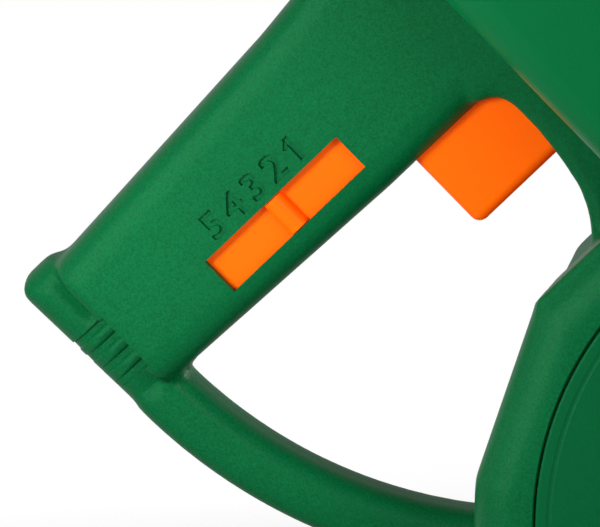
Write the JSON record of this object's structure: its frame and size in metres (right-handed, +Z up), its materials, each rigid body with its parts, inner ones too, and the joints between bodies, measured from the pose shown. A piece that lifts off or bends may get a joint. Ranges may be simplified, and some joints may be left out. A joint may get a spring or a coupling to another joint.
{
  "type": "hand spreader",
  "caption": "Hand-cranked broadcast spreader with an open hopper, looped pistol grip, orange trigger, rate slider, side crank and a spinner behind a front window.",
  "frame": {"origin": "bottom centre of the part's box, on the plane that the base rim stands on", "axes": "+X forward, the way the grains are thrown; +Y to the user's left; +Z up, out of the hopper's mouth"},
  "size_m": [0.3294, 0.1874, 0.27],
  "materials": {
    "shell_green": "fine moulded texture",
    "hopper_green": "satin",
    "inner_green": "satin",
    "trigger_orange": "satin gloss",
    "slider_orange": "satin gloss",
    "crank_orange": "satin gloss",
    "knob_black": "satin",
    "black_plastic": "satin",
    "gear_white": "natural nylon",
    "bush_cream": "natural acetal",
    "steel": "zinc plated",
    "spring_steel": "spring wire"
  },
  "bodies": {
    "housing": {"right_shell": "shell_green", "left_shell": "shell_green", "right_cover": "shell_green", "left_cover": "shell_green", "hopper": "hopper_green", "deck": "inner_green", "chute": "inner_green", "trigger_spring": "spring_steel", "gate_guide": "inner_green", "detent_spring": "spring_steel", "crank_bushes": "bush_cream", "lower_bush": "bush_cream", "upper_bush": "bush_cream", "shell_screws": "steel", "cover_screws": "steel", "deck_screws": "steel"},
    "trigger_body": {"trigger": "trigger_orange"},
    "gate_body": {"gate": "steel"},
    "rate_body": {"rate_slider": "slider_orange"},
    "meter_body": {"rate_plate": "black_plastic"},
    "crank_body": {"crank_arm": "crank_orange", "crank_shaft": "steel", "crank_screw": "steel", "knob_pin": "steel", "crown_gear": "gear_white"},
    "knob_body": {"knob": "knob_black"},
    "spinner_body": {"spinner_shaft": "steel", "pinion": "gear_white", "spinner": "black_plastic", "spinner_nut": "steel", "agitator": "black_plastic"}
  },
  "joints": [
    {"name": "trigger_pull", "type": "slide", "parent": "housing", "child": "trigger_body", "axis": [-0.7071, 0, 0.7071], "range_m": [0, 0.016], "stiffness_N_per_m": 400, "deforming": ["trigger_spring"]},
    {"name": "gate_slide", "type": "slide", "parent": "housing", "child": "gate_body", "axis": [-1, 0, 0], "range_m": [0, 0.01131]},
    {"name": "rate_slide", "type": "slide", "parent": "housing", "child": "rate_body", "axis": [0.7071, 0, 0.7071], "range_m": [-0.0144, 0.0144]},
    {"name": "meter_slide", "type": "slide", "parent": "housing", "child": "meter_body", "axis": [1, 0, 0], "range_m": [-0.00305, 0.00305]},
    {"name": "crank_turn", "type": "hinge", "parent": "housing", "child": "crank_body", "pos_m": [0.06067, -0.0433, 0.068], "axis": [0, 1, 0], "continuous": true},
    {"name": "knob_spin", "type": "hinge", "parent": "crank_body", "child": "knob_body", "pos_m": [0.06067, -0.0713, 0.018], "axis": [0, 1, 0], "continuous": true},
    {"name": "spinner_spin", "type": "hinge", "parent": "housing", "child": "spinner_body", "pos_m": [0.06067, 0.0267, 0.034], "axis": [0, 0, 1], "continuous": true}
  ],
  "couplings": [
    {"joint": "gate_slide", "follows": "trigger_pull", "ratio": 0.70711},
    {"joint": "meter_slide", "follows": "rate_slide", "ratio": 0.21213},
    {"joint": "spinner_spin", "follows": "crank_turn", "ratio": -5}
  ]
}
